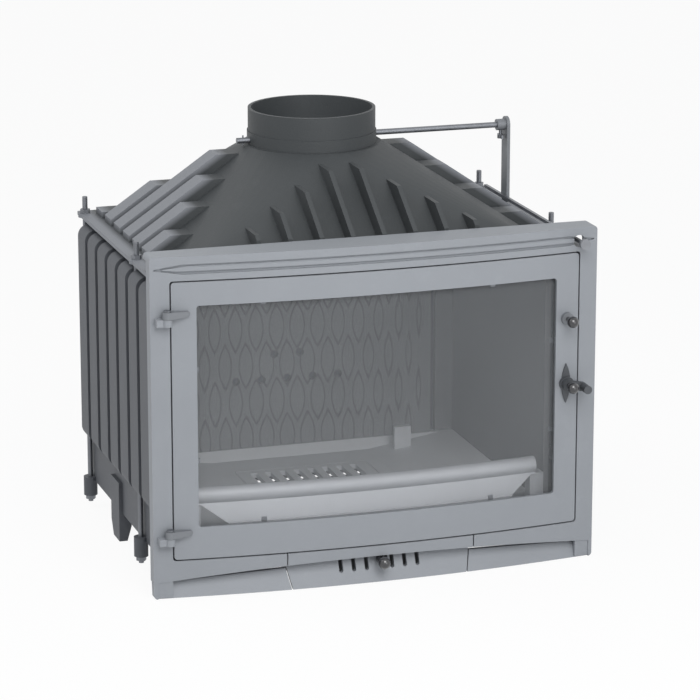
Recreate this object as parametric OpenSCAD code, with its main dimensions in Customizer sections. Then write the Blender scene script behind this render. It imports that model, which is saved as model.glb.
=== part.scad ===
/* [Front frame] */
// Width of the front frame
front_w = 700; // [692:2:708]
// Height of the front frame
front_h = 525; // [523:1:529]
// How far the middle of the front bulges ahead of its corners
front_bulge = 25; // [22:1:27]
// Wall of the front plate
front_t = 9; // [8:0.5:10]
// Rounding of the front frame's corners
front_corner_r = 6; // [4:1:9]
// How far the top ledge reaches behind the corners
ledge_reach = 38; // [34:1:40]
// Wall of the ledge and of the side returns
ledge_t = 8; // [6:0.5:9]
// How far the side returns reach behind the corners
return_reach = 20; // [16:1:22]
// How far the corners stand ahead of the part's origin
front_setback = 232; // [229:1:235]

/* [Top moulding] */
// Distance from the front's top to the moulding's middle
moulding_drop = 19.5; // [19:0.25:20]
// Width of the sunk band round the bead
band_w = 15; // [13:0.5:17]
// Depth of the sunk band
band_depth = 3.5; // [2.5:0.5:4.5]
// Radius of the round bead
bead_r = 5.2; // [4.5:0.1:5.8]
// Length of the pointed ends of the band
band_point = 42; // [36:1:48]
// Space between the band's tips and the frame's edge
band_inset = 6; // [5:1:8]
// Width of the band's blunt tips
band_tip = 2; // [1.5:0.25:3]
// Width of the bead's outline
bead_w = 10; // [9:0.5:10.5]
// Space between the bead's tips and the frame's edge
bead_inset = 18; // [15:1:20]
// Width of the bead's blunt tips
bead_tip = 1; // [0.75:0.25:1.25]

/* [Apron] */
// Height of the front plate's lower edge at the middle
plate_edge_z = 43; // [42:0.5:44]
// How much lower that edge is at the corners
plate_edge_drop = 18; // [16:1:20]
// Height of the lip's upper edge at the middle
lip_edge_z = 33; // [32:0.5:34]
// How much lower the lip's edge is at the corners
lip_edge_drop = 12; // [11:1:13]
// How far the apron's face stands back under the plate
apron_step = 22; // [20:0.5:24]
// How far its foot stands back
apron_foot_step = 4; // [3:0.5:5]
// Wall of the apron
apron_t = 7; // [6:0.5:8]
// Half length from the middle to the closed end of the air slots
air_slot_end = 321; // [318:1:324]

/* [Door] */
// Width of the front beside the door
jamb_w = 31; // [30:0.5:33]
// Height of the door's lower edge
door_z = 61; // [60:0.5:62]
// Height of the front over the door
top_w = 39; // [38:0.5:41]
// Gap round the door
door_gap = 2.2; // [1.8:0.1:2.5]
// Wall of the door's lip
door_t = 6; // [5.5:0.25:6.5]
// Depth of the door's rear rim
door_rim = 15; // [14:0.25:15.5]
// Width of the door's rear rim
door_rim_w = 17; // [16.5:0.25:18]
// Rounding of the door's corners
door_corner_r = 5; // [4:0.5:6]
// Width of the door beside its window
stile_w = 37; // [36:0.5:39]
// Height of the door under its window
sill_w = 49; // [48:0.5:51]
// Height of the door over its window
head_w = 36; // [35:0.5:38]
// Rounding of the window's corners
window_corner_r = 5; // [4:0.5:8]

/* [Glass and seals] */
// Thickness of the glass
glass_t = 4; // [3.5:0.25:4.5]
// How far the glass overlaps the door's lip
glass_lap = 9; // [8:0.5:10]
// Thickness of the flat seal in front of the glass
glass_seal_t = 1.5; // [1:0.25:1.75]
// Width of the flat seal
glass_seal_w = 7; // [6:0.5:7.5]
// Width of the door's rope seal
rope_w = 9; // [8:0.5:10]
// How deep the rope sits in the door's rim
rope_seat = 3; // [2:0.5:4]
// Depth of the face that the rope closes on
stop_depth = 23; // [22:0.5:24]
// Wall of the stop
stop_t = 7; // [6:0.5:8]
// Width of the stop inside the door's edge
stop_lap = 15; // [14:0.5:16]
// Play of the rope in front of the stop
rope_play = 0.3; // [0.3:0.1:0.5]

/* [Glass clips] */
// Length of a clip
clip_l = 24; // [20:1:28]
// Width of a clip
clip_w = 8; // [7:0.5:8.5]
// Thickness of a clip
clip_t = 2; // [1.5:0.25:2.5]
// Radius of a clip's screw
clip_screw_r = 2; // [1.5:0.25:2.25]
// Radius of the screw's head
clip_head_r = 3.5; // [3:0.25:3.75]
// Height of the screw's head
clip_head_h = 2.5; // [2:0.25:3]
// Distance of the side clips from the window's middle
clip_spread = 70; // [62:2:76]
// Distance of the top and bottom clips from the middle
clip_reach = 180; // [170:5:190]

/* [Hinges] */
// Distance from the door's edge to the hinges' pins
hinge_step = 8; // [7.75:0.25:8.5]
// How far the hinge axis stands ahead of the corners
hinge_out = 13; // [12.5:0.25:14]
// Radius of the hinge barrels
barrel_r = 7.5; // [7:0.25:8]
// Height of the hinge barrels
barrel_h = 11; // [10:0.5:12]
// Radius of the hinge pins
pin_r = 4; // [3.5:0.25:4.25]
// Radial play of the barrels on their pins
pin_play = 0.06; // [0.05:0.01:0.09]
// Distance from the door's top to the upper hinge
hinge_drop = 52; // [50:1:54]
// Height of the lower barrel's foot
lower_hinge_z = 98; // [96:1:100]
// Height of the lugs under the barrels
lug_h = 10.5; // [9.5:0.5:11.5]
// Gap between a barrel and its lug
hinge_gap = 0.4; // [0.3:0.1:0.6]
// Height of the pin's domed head
pin_head_h = 2; // [1.5:0.25:2.5]
// Radius of the pin's domed head
pin_head_r = 5.5; // [5:0.25:6]
// Distance from the barrel to the arm's round tip
arm_reach = 31; // [29:0.5:33]
// Radius of the arm's tip
arm_tip_r = 4; // [3.5:0.25:4.5]
// Depth of the arm on the door
arm_depth = 12; // [11:0.5:13]
// Thickness of the hinge bracket
bracket_t = 6; // [5:0.5:7]
// Distance of the bracket's outer side from the middle
bracket_x = 344; // [343:0.5:345]

/* [Latch] */
// Distance from the door's edge to the latch
latch_step = 19.5; // [19.25:0.25:20]
// Distance from the door's top to the latch
latch_drop = 202; // [199:1:206]
// Length of the lens-shaped plate
latch_plate_l = 62; // [58:1:64]
// Width of the lens-shaped plate
latch_plate_w = 15; // [14:0.5:16]
// Thickness of the plate over the door's face
latch_plate_t = 2.5; // [2:0.25:3]
// Radius of the round boss
latch_boss_r = 11; // [10:0.5:12]
// Length of the round boss
latch_boss_l = 9; // [8:0.5:10]
// Radius of the latch spindle
spindle_r = 5; // [4.5:0.25:5.25]
// Radial play of the spindle
spindle_play = 0.08; // [0.06:0.01:0.09]
// Thickness of the handle's arm
handle_t = 9; // [8:0.5:10]
// Radius of the arm's root
handle_root_r = 9; // [8.5:0.25:9.5]
// Distance from the spindle to the peg
peg_reach = 23; // [22:0.5:25]
// How far the peg sits below the spindle
peg_drop = 4; // [3:0.5:5]
// Radius of the peg
peg_r = 6.5; // [6:0.25:7]
// Length of the peg ahead of the arm
peg_l = 20; // [18:1:22]
// Radius of the ball on the spindle
latch_ball_r = 9; // [8.5:0.25:9.5]
// How far the ball's centre stands ahead of the corners
latch_ball_out = 39; // [38:0.5:40]
// Length of the catch behind the door
catch_l = 17; // [16:0.25:17.25]
// Width of the catch
catch_w = 10; // [9:0.5:11]
// Thickness of the catch
catch_t = 5; // [4:0.5:5.5]

/* [Door knob] */
// Distance from the door's top to the pull
pull_drop = 100; // [96:1:104]
// Radius of the upper ball
pull_ball_r = 9; // [8.5:0.25:9.5]
// How far its centre stands ahead of the corners
pull_ball_out = 34; // [33:0.5:35]
// Radius of the knob's round base
pull_base_r = 9.5; // [9:0.25:10]
// Length of the round base ahead of the corners
pull_base_out = 14; // [13:0.5:15]
// Radius of the knob's stem
pull_stem_r = 4; // [3.5:0.25:4.5]

/* [Ash drawer] */
// Width of the drawer's front
drawer_w = 294; // [290:1:296]
// Width of the drawer's front at its foot
drawer_foot_w = 276; // [274:1:280]
// Gap round the drawer's front
drawer_gap = 2; // [1.6:0.1:2.2]
// Width of the ash pan
pan_w = 250; // [244:1:256]
// Length of the ash pan
pan_l = 395; // [390:1:400]
// Height of the ash pan's walls
pan_h = 33; // [30:0.5:34]
// Height of the ash pan's floor above the hearth
pan_z = 4.5; // [4.3:0.1:4.8]
// Wall of the ash pan
pan_t = 1.5; // [1.25:0.25:2]
// Wall of the lugs that carry the pan
pan_lug_t = 4; // [3:0.5:5]
// Length of those lugs beside the pan
pan_lug_l = 20; // [16:1:24]
// Length of the drawer's rails
rail_l = 380; // [370:1:390]
// How far the drawer slides out
drawer_travel = 240; // [200:10:250]

/* [Air register] */
// Width of an air slot
slot_w = 6.5; // [6:0.25:7]
// Distance from slot to slot
slot_pitch = 20.3; // [20:0.1:21]
// Height of the slots' lower ends
slot_z = 17.5; // [17:0.25:18]
// Height of the slots
slot_h = 24.5; // [23:0.5:25]
// Thickness of the slider
slider_t = 2.5; // [2:0.25:3]
// Travel of the slider
slider_travel = 10; // [9:0.5:10]
// Radius of the slider's ball knob
slider_ball_r = 9.5; // [9:0.25:10]
// Height of the slider's knob
slider_knob_z = 34; // [33:0.5:34.5]
// How far the ball's centre stands ahead of the corners
slider_ball_out = 36; // [35.5:0.5:38]
// Radius of the knob's stem
slider_stem_r = 3; // [2.5:0.25:3.25]
// Radius of the knob's collar
slider_collar_r = 7; // [6.5:0.25:7.25]
// Play of the slider behind the drawer's front
slider_play = 0.4; // [0.3:0.1:0.5]

/* [Casing] */
// Depth from the front's corners to the rear plate's outside
body_depth = 500; // [497:1:502]
// How far each side plate stands in from the front's end
body_step = 24; // [23:0.5:25]
// Wall of the side plates
side_t = 8; // [7:0.5:9]
// Depth of the pleats on the side plates
pleat_depth = 22; // [20:0.5:23]
// Width of a pleat
pleat_w = 48; // [46:0.5:50]
// Distance from pleat to pleat
pleat_pitch = 65; // [64.5:0.25:65.5]
// Height of the pleats' lower ends
pleat_z = 125; // [118:1:130]
// Distance from the hood's foot to the pleats' tops
pleat_drop = 14; // [12:1:16]
// Wall of the pleats
pleat_wall = 6; // [5:0.5:7]
// Rounding of the pleats' ends
pleat_round = 18; // [15:1:20]
// Height of the base plate's underside
base_z = 45; // [44:0.25:46]
// Wall of the base plate
base_t = 7; // [6:0.25:8]
// Height of the lugs under the base plate's corners
base_lug_h = 24; // [20:1:26]
// Wall of the rear plate
rear_t = 8; // [7:0.5:9]
// Depth of the rear plate's ribs
rear_rib_depth = 12; // [10:0.5:13]
// Width of the rear plate's ribs
rear_rib_w = 14; // [12:0.5:16]
// Distance between the rear plate's ribs
rear_rib_pitch = 70; // [66:1:72]
// Width of the side plates' front flange
flange_w = 18; // [16:0.5:19]

/* [Feet] */
// Distance from the corners to the feet
foot_y = 288; // [280:1:292]
// How far the feet stand out from the side plates
foot_out = 6; // [5:0.5:7]
// Wall of the feet
foot_t = 6; // [5:0.5:7]
// Width of a foot across the part
foot_w = 20; // [18:0.5:22]
// Width of a foot along the part
foot_l = 52; // [48:1:54]
// Height of the feet's upper ends
foot_top_z = 96; // [92:1:98]
// Height at which the feet start to taper
foot_taper_z = 24; // [20:1:26]
// How much the feet taper on each side
foot_taper = 7; // [6:0.5:8]

/* [Hood] */
// Distance from the front's top to the hood's foot
hood_drop = 37; // [36.5:0.25:37.5]
// Wall of the hood's flange
hood_flange_t = 6; // [5.5:0.25:6.5]
// How far the hood's flange stands over the side plates
hood_lap = 14; // [13:0.5:15]
// Height of the hood over its foot
hood_rise = 125; // [124:0.5:126]
// Wall of the hood
hood_t = 7; // [6:0.5:8]
// How far the hood's foot stands in from the side plates
hood_foot_step = 34; // [33:0.5:36]
// How far the hood's front corners are drawn in
hood_corner_front = 16; // [15:0.5:18]
// How far the hood's rear corners are drawn in
hood_corner_rear = 30; // [29:0.5:32]
// Distance from the corners to the hood's front edge
hood_front_y = 30; // [29.5:0.25:31]
// Distance from the corners to the front ends of its sides
hood_side_front_y = 73; // [70:0.5:76]
// Distance from the corners to the rear ends of its sides
hood_side_rear_y = 455; // [452:0.5:458]
// Distance from the corners to the hood's rear edge
hood_rear_y = 490; // [488:0.5:491]

/* [Flue collar] */
// Radius of the flue collar's seat
collar_r = 100; // [99:0.5:101]
// Wall of the flue collar
collar_t = 5; // [4.5:0.25:5.5]
// Height of the collar over the hood
collar_h = 54.5; // [53:0.5:56]
// Height of the collar's thicker foot
collar_step_h = 19; // [18:0.5:20]
// How much wider the collar is below the pipe seat
collar_step = 1.5; // [1:0.25:2]
// Distance from the corners to the flue's axis
flue_y = 335; // [334.5:0.25:335.5]
// Radius of the flare round the collar's foot
flare_r = 108; // [107:0.5:109]
// Height of the flare
flare_h = 8; // [6:0.5:9]

/* [Hood fins] */
// Thickness of a front fin
fin_t = 7; // [6:0.5:8]
// Distance from fin to fin
fin_pitch = 49; // [48:0.5:49.5]
// How far the fins stand out along the slope
fin_reach = 53; // [51:0.5:54]
// Distance from the corners to the fins' front ends
fin_front_y = 42; // [41:0.5:44]
// Rise of the fins' outer edge per unit of run
fin_rise = 0.67; // [0.66:0.01:0.68]

/* [Hood ribs] */
// Width of a side rib
rib_w = 40; // [38:0.5:42]
// Distance from rib to rib
rib_pitch = 58.5; // [58:0.25:59]
// Distance from the corners to the first rib
rib_first_y = 143.5; // [142:0.5:145]
// How far the ribs stand out along the slope
rib_reach = 37.5; // [36:0.5:38.5]
// How far the ribs stand out over the hood's foot
rib_out = 23; // [22:0.5:24]

/* [Tie rods] */
// Radius of a tie rod
tie_r = 4; // [3.5:0.25:4.5]
// Distance from the side plates to the tie rods
tie_out = 6; // [5.5:0.25:6.5]
// Distance between the front and the rear tie rods
tie_span = 332; // [331:0.5:333]
// How far the tie rods stand over the hood's flange
tie_over = 27; // [24:1:30]
// How far the tie rods stand under the base
tie_under = 11; // [10:0.5:12]
// Width of a nut across its corners
nut_d = 16; // [14:0.5:16]
// Height of a nut
nut_h = 7; // [6:0.5:7.5]
// Radius of the lugs round the tie rods
tie_lug_r = 11; // [10:0.5:11.5]

/* [Damper] */
// Height of the damper's shaft over the hood
shaft_rise = 7; // [6.5:0.25:7.5]
// Radius of the shaft
shaft_r = 4.5; // [4:0.25:4.75]
// Radial play of the shaft in the collar
shaft_play = 0.08; // [0.06:0.01:0.09]
// Radius of the damper plate
damper_r = 92; // [90:0.5:93]
// Thickness of the damper plate
damper_t = 4; // [3.5:0.25:4.5]
// Half width of the boss on the damper plate
damper_boss_r = 8; // [7.5:0.25:8.5]
// Distance from the middle to the shaft's left end
shaft_left = 122; // [118:0.5:124]
// Distance from the middle to the shaft's right end
shaft_right = 330; // [328:0.5:331]
// Radius of the split pin's wire
split_r = 1.2; // [1:0.1:1.4]
// Length of the split pin
split_l = 16; // [14:0.5:16.5]
// Distance from the middle to the split pin
split_x = 112; // [110:0.5:113]

/* [Damper lever] */
// Thickness of the lever
lever_t = 5; // [4.5:0.25:5.5]
// Width of the lever
lever_w = 26; // [24:0.5:28]
// Distance from the middle to the lever's inner side
lever_x = 322; // [321.5:0.25:322.5]
// Length from the shaft to the rod's pivot
lever_l = 116; // [115:0.5:117]
// Length of the lever's round head
lever_head_l = 14; // [12:0.5:15]
// Radius of the lever's head
lever_head_r = 9; // [8.5:0.25:9.5]
// Length of the wing bolt
wing_bolt_l = 13; // [12:0.5:14]
// Radius of the wing bolt
wing_bolt_r = 2.5; // [2:0.25:2.75]
// Span of the wings
wing_span = 20; // [18:0.5:22]
// Thickness of the wings
wing_t = 3; // [2.5:0.25:3.5]
// Height of the wings
wing_h = 6; // [5:0.5:7]

/* [Control rod] */
// Width of the control rod
rod_w = 5; // [4.5:0.25:5.25]
// Height of the control rod
rod_h = 5; // [4.5:0.25:5.25]
// Length behind the pivot
rod_tail = 78; // [72:1:82]
// Radius of the pivot
pivot_r = 3; // [2.5:0.25:3.25]
// Play of the lever beside the rod
rod_play = 0.4; // [0.3:0.1:0.5]
// Radius of the control knob
knob_r = 8; // [7.5:0.25:8.5]
// Thickness of the control knob
knob_l = 7; // [6:0.5:8]
// How far the knob's face stands ahead of the corners
knob_out = 31; // [30:0.5:32]
// Width of the rod's hole in the front
rod_hole_w = 17; // [16:0.5:18]
// Height of the rod's hole in the front
rod_hole_h = 18.5; // [18.5:0.25:19]

/* [Firebox] */
// Distance from the linings to the fireback's ends
fireback_step = 38; // [37.5:0.5:39]
// Distance from the corners to the fireback's face
fireback_y = 476; // [475:0.5:477]
// Thickness of the fireback
fireback_t = 12; // [11:0.5:13]
// Height of the fireback's foot
fireback_z = 76; // [75:0.5:78]
// Distance from the hood's foot to the fireback's top
fireback_drop = 18; // [16:1:20]
// Distance from the side plates to the linings' faces
lining_step = 40; // [39:0.5:41]
// Thickness of the linings
lining_t = 9; // [8:0.5:10]
// Distance from the corners to the linings' front ends
lining_y = 48; // [46:0.5:50]
// Height of the linings' feet
lining_z = 78; // [76:0.5:80]
// Width of the linings' rear return
lining_return = 30; // [28:0.5:32]

/* [Fireback ornament] */
// Depth of the engraved lines
engrave_depth = 2; // [1.5:0.25:2.5]
// Width of the engraved lines
engrave_w = 2.2; // [2:0.1:2.6]
// Distance from lens to lens
lens_pitch = 35; // [34:0.5:36]
// Height of a lens
lens_h = 82; // [80:1:84]
// Width of the widest lens
lens_w = 27; // [25:0.5:29]
// Distance from row to row
lens_row = 62; // [60:0.5:64]
// Height of the lowest row's middle
lens_z = 92; // [90:0.5:94]
// Radius of the air holes
air_hole_r = 7; // [6:0.25:7.5]
// Height of the lower row of air holes
air_hole_z = 190; // [186:1:194]
// Distance between the two rows of air holes
air_hole_row = 42; // [40:1:44]
// Distance from air hole to air hole
air_hole_pitch = 43.5; // [42:0.5:45]

/* [Hearth] */
// Height of the hearth's floor
hearth_z = 60; // [60:0.25:61]
// Half width of the hearth's flat floor
hearth_floor_x = 134; // [132:0.5:136]
// How far the hearth runs in under the linings
hearth_lap = 10; // [9.5:0.25:10.5]
// Distance from the corners to the hearth's front
hearth_y = 46; // [45:0.5:47]
// Distance from the corners to the rear end of the hearth's floor
hearth_rear_y = 462; // [460:0.5:463]
// Length of the grate
grate_l = 250; // [244:1:256]
// Width of the grate
grate_w = 220; // [214:1:226]
// Distance from the corners to the grate's rear edge
grate_rear_y = 402; // [398:1:406]
// Width of the grate's openings
grate_slot = 11; // [10:0.5:12]
// Distance from opening to opening
grate_pitch = 24; // [23:0.5:25]
// Width of the grate's border
grate_border = 14; // [12:0.5:15]
// Gap round the grate
grate_gap = 1.5; // [1:0.25:2]
// Width of the ledge that the grate rests on
grate_seat = 8; // [7:0.5:9]
// Height of the tab by the fireback
tab_h = 42; // [38:1:44]
// Width of the tab
tab_w = 28; // [26:0.5:30]
// Distance of the tab from the middle
tab_x = 172; // [168:1:176]
// Thickness of the tab
tab_t = 8; // [7:0.5:9]

/* [Log retainer] */
// Height of the roll's axis
roll_z = 140; // [138:0.5:142]
// Radius of the roll
roll_r = 13; // [12:0.25:13.5]
// Depth of the roll's axis behind the front's face
roll_depth = 62; // [60:0.5:64]
// Distance from the linings to the roll's ends
roll_step = 14; // [13.5:0.25:15]
// Depth of the retainer's foot behind the front's face
retainer_foot_depth = 33; // [33:0.5:35]
// Height of the retainer's foot
retainer_foot_z = 76; // [75:0.5:78]
// Half length of the retainer's foot
retainer_foot_x = 192; // [188:1:196]
// Wall of the retainer
retainer_t = 8; // [7:0.5:9]
// Radius of the lines along the retainer's foot
line_r = 2.2; // [1.8:0.1:2.5]
// Distance between those lines
line_pitch = 8; // [7:0.5:9]
// Width of a support
support_w = 22; // [20:0.5:24]
// Height of a support's shoulder
support_z = 127; // [124:1:127]

/* [Bolts] */
// Radius of the front's bolts
bolt_r = 4; // [3.5:0.25:4.25]
// Radius of the bolts' heads
bolt_head_r = 7; // [6.5:0.25:7.25]
// Height of the bolts' heads
bolt_head_h = 5; // [4:0.5:5.5]
// How far the bolts reach into the front frame's pads
bolt_depth = 12; // [10:1:14]
// Radius of those pads
bolt_pad_r = 8.5; // [8:0.25:8.75]

/* [Hidden] */

// Counts
bow_facets = 720;
round_facets = 64;
hood_facets = 32;
fine_facets = 12;
fins = 8;
ribs = 6;
pleats = 7;
register_slots = 6;
rear_ribs = 7;
grate_slots = 8;
lens_columns = 14;
lens_rows = 7;
$fn = round_facets;

// One overrun for every cut, and one overlap for every joint inside a casting
cut = 1;
bite = 1.5;

half_w = front_w / 2;
door_w = front_w - 2 * jamb_w;
window_w = door_w - 2 * stile_w;
body_w = front_w - 2 * body_step;
door_h = front_h - door_z - top_w;
window_z = door_z + sill_w;
window_h = door_h - sill_w - head_w;
moulding_z = front_h - moulding_drop;
hinge_x = door_w / 2 + hinge_step;
latch_x = door_w / 2 - latch_step;
upper_hinge_z = door_z + door_h - hinge_drop;
pull_z = door_z + door_h - pull_drop;
latch_z = door_z + door_h - latch_drop;
hood_z = front_h - hood_drop;
hood_flange_x = body_w / 2 + hood_lap;
hood_foot_x = body_w / 2 - hood_foot_step;
tie_x = body_w / 2 + tie_out;
foot_x = body_w / 2 + foot_out;
lining_x = body_w / 2 - lining_step;
fireback_x = lining_x - fireback_step;
hearth_x = lining_x + hearth_lap;
support_x = lining_x;
roll_x = lining_x - roll_step;
hood_top_z = hood_z + hood_rise;
hood_front_x = hood_foot_x - hood_corner_front;
hood_rear_x = hood_foot_x - hood_corner_rear;
rib_end_x = hood_foot_x + rib_out;
collar_top_z = hood_top_z + collar_h;
collar_seat_z = hood_top_z + collar_step_h;
shaft_z = hood_top_z + shaft_rise;
pleat_top_z = hood_z - pleat_drop;
fireback_top_z = hood_z - fireback_drop;
bow_r = (half_w * half_w + front_bulge * front_bulge) / (2 * front_bulge);
bow_y = bow_r - front_bulge;
through = body_depth * 2;
door_top = door_z + door_h;
window_top = window_z + window_h;
seat_play = 0.2;
ring_x = door_w / 2 + door_gap + stop_t;
side_start = bow_at(ring_x) + stop_depth + stop_t + seat_play;
// The hood's flange lies on the side plates, just behind the stop ring
hood_flange_start = side_start;
hearth_t = hearth_z - base_z - base_t;
tie_front_y = side_start + 2 * pleat_pitch - (pleat_pitch - pleat_w) / 2;
tie_rear_y = tie_front_y + tie_span;
plate_arch_r = (half_w * half_w + plate_edge_drop * plate_edge_drop) / (2 * plate_edge_drop);
lip_arch_r = (half_w * half_w + lip_edge_drop * lip_edge_drop) / (2 * lip_edge_drop);
glass_w = window_w + 2 * glass_lap;
glass_h = window_h + 2 * glass_lap;
glass_d = door_t + glass_seal_t;
rope_r = (stop_depth - rope_play - door_rim + rope_seat) / 2;
side_outer = body_w / 2;
side_inner = side_outer - side_t;
base_top = base_z + base_t;
flange_z = hood_z - hood_flange_t;
pleat_share = [for (i = [0:pleats - 1]) side_start + i * pleat_pitch];
pivot_z = shaft_z - lever_l;
rod_x = lever_x - rod_play - rod_w;

// How far the bowed front face stands at a distance x from the middle
function bow_at(x) = bow_y - sqrt(bow_r * bow_r - x * x);

// Puts a piece that is drawn from the front's corners at the part's origin
module at_front() {
    translate([0, -front_setback, 0]) children();
}

module both_sides() {
    children();
    mirror([1, 0, 0]) children();
}

// A flat outline in X and Z, drawn right through the part
module through_front() {
    rotate([90, 0, 0]) linear_extrude(height = through, center = true) children();
}

// Everything that lies deeper than d behind the bowed face
module behind(d) {
    translate([0, bow_y, -cut]) cylinder(r = bow_r - d, h = collar_top_z, $fn = bow_facets);
}

// A bowed plate from depth d0 to depth d1 with a given outline
module bow_slab(d0, d1) {
    intersection() {
        difference() {
            behind(d0);
            translate([0, 0, -cut]) behind(d1);
        }
        intersection() {
            through_front() children();
            translate([-half_w, -through / 2, -cut]) cube([front_w, through / 2 + ledge_reach + roll_depth, front_h + 2 * cut]);
        }
    }
}

// A profile of depth and height, swept along the bow
module bow_sweep() {
    bow_angle = 2 * asin((half_w + bite) / bow_r);
    translate([0, bow_y, 0])
        rotate([0, 0, -90 - bow_angle / 2])
            rotate_extrude(angle = bow_angle, $fn = bow_facets)
                translate([bow_r, 0]) mirror([1, 0]) children();
}

module round_rect(w, z0, h, r) {
    translate([-w / 2 + r, z0]) square([w - 2 * r, h]);
    translate([-w / 2, z0 + r]) square([w, h - 2 * r]);
    for (x = [-w / 2 + r, w / 2 - r]) {
        for (z = [z0 + r, z0 + h - r]) {
            translate([x, z]) circle(r = r);
        }
    }
}

module ring_rect(w, z0, h, r, rim) {
    difference() {
        round_rect(w, z0, h, r);
        round_rect(w - 2 * rim, z0 + rim, h - 2 * rim, r);
    }
}

module below_arch(z, r) {
    translate([0, z - r]) circle(r = r, $fn = bow_facets);
}

// The pointed outline of the top moulding
module pointed_band(w, inset, tip_w) {
    tip = half_w - inset;
    polygon([
        [-tip, moulding_z - tip_w / 2],
        [-tip, moulding_z + tip_w / 2],
        [-tip + band_point, moulding_z + w / 2],
        [tip - band_point, moulding_z + w / 2],
        [tip, moulding_z + tip_w / 2],
        [tip, moulding_z - tip_w / 2],
        [tip - band_point, moulding_z - w / 2],
        [-tip + band_point, moulding_z - w / 2]
    ]);
}

// The sloping face under the front plate, as depth and height
module apron_profile() {
    polygon([
        [apron_foot_step, 0],
        [apron_foot_step + apron_t, 0],
        [apron_step + apron_t, plate_edge_z],
        [apron_step, plate_edge_z]
    ]);
}

module drawer_bay(gap) {
    polygon([
        [-drawer_foot_w / 2 - gap, -cut],
        [drawer_foot_w / 2 + gap, -cut],
        [drawer_w / 2 + gap, plate_edge_z - bite],
        [drawer_w / 2 + gap, door_z],
        [-drawer_w / 2 - gap, door_z],
        [-drawer_w / 2 - gap, plate_edge_z - bite]
    ]);
}

module front_plate() {
    difference() {
        bow_slab(0, front_t) difference() {
            round_rect(front_w, 0, front_h, front_corner_r);
            difference() {
                below_arch(plate_edge_z, plate_arch_r);
                for (s = [-1, 1]) {
                    translate([s * half_w - front_corner_r, 0]) square([2 * front_corner_r, plate_edge_z]);
                }
            }
            round_rect(door_w + 2 * door_gap, door_z - door_gap, door_h + 2 * door_gap, door_corner_r);
        }
        bow_slab(-cut, band_depth) pointed_band(band_w, band_inset, band_tip);
    }
    // Round bead in the sunk band
    intersection() {
        bow_sweep() translate([bead_r - bite / 2, moulding_z]) circle(r = bead_r, $fn = fine_facets);
        through_front() pointed_band(bead_w, bead_inset, bead_tip);
        translate([0, 0, -cut]) behind(0);
    }
}

module apron_lip() {
    // Lip under the air slots
    intersection() {
        bow_sweep() apron_profile();
        through_front() difference() {
            intersection() {
                below_arch(lip_edge_z, lip_arch_r);
                round_rect(front_w, 0, front_h, front_corner_r);
            }
            drawer_bay(drawer_gap);
        }
    }
    // Closed ends of the air slots
    intersection() {
        union() {
            bow_sweep() apron_profile();
            bow_sweep() translate([bite, bite]) square([front_t, plate_edge_z - bite]);
        }
        through_front() intersection() {
            for (s = [-1, 1]) {
                translate([s * (half_w + air_slot_end) / 2 - (half_w - air_slot_end) / 2, bite])
                    square([half_w - air_slot_end, plate_edge_z - bite]);
            }
            below_arch(plate_edge_z + bite, plate_arch_r);
            round_rect(front_w, 0, front_h, front_corner_r);
        }
    }
}

module stop_ring() {
    // Wall round the door, then the stop that the rope closes on
    bow_slab(front_t - bite, stop_depth + stop_t)
        ring_rect(door_w + 2 * door_gap + 2 * stop_t, door_z - door_gap - stop_t,
            door_h + 2 * door_gap + 2 * stop_t, door_corner_r, stop_t);
    bow_slab(stop_depth, stop_depth + stop_t)
        ring_rect(door_w + 2 * door_gap + 2 * bite, door_z - door_gap - bite,
            door_h + 2 * door_gap + 2 * bite, door_corner_r, door_gap + bite + stop_lap);
}

// Ledge behind the top edge and returns behind the sides
module rear_rim() {
    intersection() {
        behind(front_t - bite);
        through_front() ring_rect(front_w, 0, front_h, front_corner_r, ledge_t);
        union() {
            translate([-half_w - cut, -through / 2, plate_edge_z - plate_edge_drop])
                cube([front_w + 2 * cut, through / 2 + return_reach, front_h]);
            translate([-half_w - cut, -through / 2, front_h - ledge_t - cut])
                cube([front_w + 2 * cut, through / 2 + ledge_reach, ledge_t + 2 * cut]);
        }
    }
}

module hinge_lug(z) {
    top = z - hinge_gap;
    difference() {
        union() {
            translate([-hinge_x, -hinge_out, top - lug_h]) cylinder(r = barrel_r, h = lug_h);
            translate([-bracket_x, -hinge_out - bracket_t / 2, top - lug_h])
                cube([bracket_x - hinge_x, hinge_out + bracket_t, lug_h]);
        }
        translate([-hinge_x, -hinge_out, top - lug_h - cut]) cylinder(r = pin_r, h = lug_h + 2 * cut);
    }
}

module facade_frame() {
    color([0.60, 0.62, 0.65]) at_front() {
        difference() {
            union() {
                front_plate();
                apron_lip();
                stop_ring();
                // Pads for the bolts behind the plate
                intersection() {
                    bolt_places(0) cylinder(r = bolt_pad_r, h = side_start);
                    behind(front_t - bite);
                }
                rear_rim();
            }
            // Bay for the ash drawer's front
            bow_slab(-cut, front_t + bite) drawer_bay(drawer_gap);
            // Hole for the control rod
            translate([rod_x + rod_w / 2, 0, pivot_z]) through_front()
                round_rect(rod_hole_w, -rod_hole_h / 2, rod_hole_h, rod_hole_w / 2 - bite);
            bolt_places(side_start - bolt_depth) cylinder(r = bolt_r, h = bolt_depth + cut);
            // Room for the latch's catch behind the door
            translate([latch_x, side_start, latch_z]) rotate([90, 0, 0]) linear_extrude(height = stop_depth) union() {
                circle(r = catch_w / 2 + catch_play);
                translate([-catch_w / 2 - catch_play, 0])
                    square([catch_w + 2 * catch_play, catch_l + catch_play]);
            }
        }
        hinge_lug(upper_hinge_z);
        hinge_lug(lower_hinge_z);
    }
}

// Ash drawer and air register

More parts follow.
